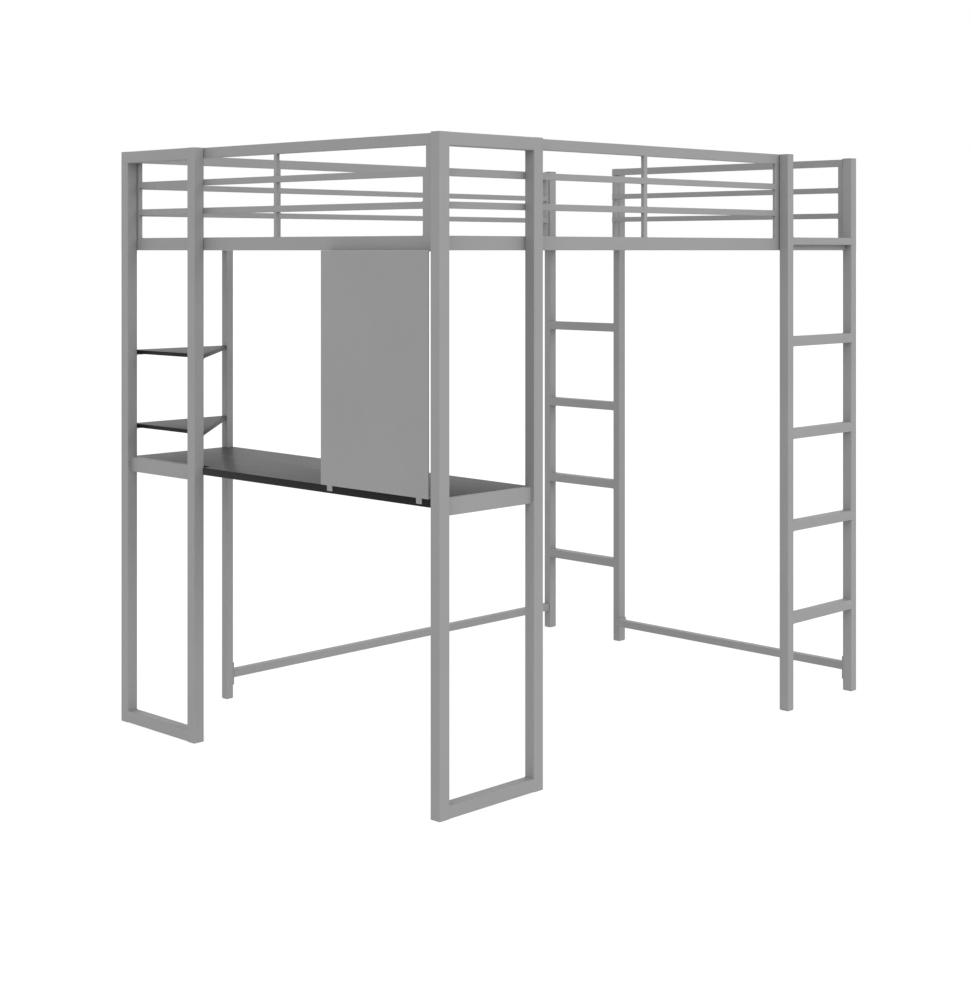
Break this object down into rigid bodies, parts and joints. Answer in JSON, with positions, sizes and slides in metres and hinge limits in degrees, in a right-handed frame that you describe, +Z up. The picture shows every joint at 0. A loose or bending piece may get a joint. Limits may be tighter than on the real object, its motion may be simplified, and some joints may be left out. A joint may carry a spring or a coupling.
{
  "type": "loft bed with desk",
  "caption": "Steel loft bed with guard bars all round, ladders at the side and end, a desk under the sleeping base, a privacy panel and triangular corner shelves.",
  "frame": {"origin": "centre of the bed's footprint, on the floor", "axes": "+Z up, +X along the bed from the desk end to the ladder end, +Y across it from the side ladder's side to the far side"},
  "size_m": [2.015, 1.497, 1.829],
  "materials": {
    "frame_metal": "satin silver-grey powder coat on square steel tube",
    "panel_metal": "satin silver-grey powder coat on sheet steel",
    "slat_metal": "satin silver-grey powder coat on flat steel tube",
    "desk_board": "black melamine on board, smooth satin with a fine grain and a plain black edge",
    "shelf_board": "black melamine on thin board, satin, plain black edge",
    "glides": "grey moulded plastic",
    "bolts": "zinc plated button head bolts"
  },
  "bodies": {
    "root": {"bolt_01": "bolts", "bolt_02": "bolts", "bolt_03": "bolts", "bolt_04": "bolts", "bolt_05": "bolts", "bolt_06": "bolts", "bolt_07": "bolts", "bolt_08": "bolts", "bolt_09": "bolts", "bolt_10": "bolts", "bolt_11": "bolts", "bolt_12": "bolts", "bolt_13": "bolts", "bolt_14": "bolts", "bolt_15": "bolts", "bolt_16": "bolts", "bolt_17": "bolts", "bolt_18": "bolts", "bolt_19": "bolts", "center_support_beam": "slat_metal", "desk_end_guard": "frame_metal", "desk_top": "desk_board", "end_ladder": "frame_metal", "end_stabilizer_bar": "frame_metal", "far_left_bracket": "frame_metal", "foot_glide_01": "glides", "foot_glide_02": "glides", "foot_glide_03": "glides", "foot_glide_04": "glides", "foot_glide_05": "glides", "ladder_cap_01": "frame_metal", "ladder_cap_02": "frame_metal", "ladder_cap_03": "frame_metal", "ladder_cap_04": "frame_metal", "ladder_end_guard": "frame_metal", "left_desk_frame": "frame_metal", "left_side_guard": "frame_metal", "lower_corner_shelf": "shelf_board", "near_left_bracket": "frame_metal", "near_right_bracket": "frame_metal", "privacy_panel": "panel_metal", "rear_leg": "frame_metal", "right_desk_frame": "frame_metal", "right_side_guard": "frame_metal", "side_ladder": "frame_metal", "side_stabilizer_bar": "frame_metal", "slat_01": "slat_metal", "slat_02": "slat_metal", "slat_03": "slat_metal", "slat_04": "slat_metal", "slat_05": "slat_metal", "slat_06": "slat_metal", "slat_07": "slat_metal", "slat_08": "slat_metal", "slat_09": "slat_metal", "slat_10": "slat_metal", "slat_11": "slat_metal", "upper_corner_shelf": "shelf_board"}
  },
  "joints": []
}
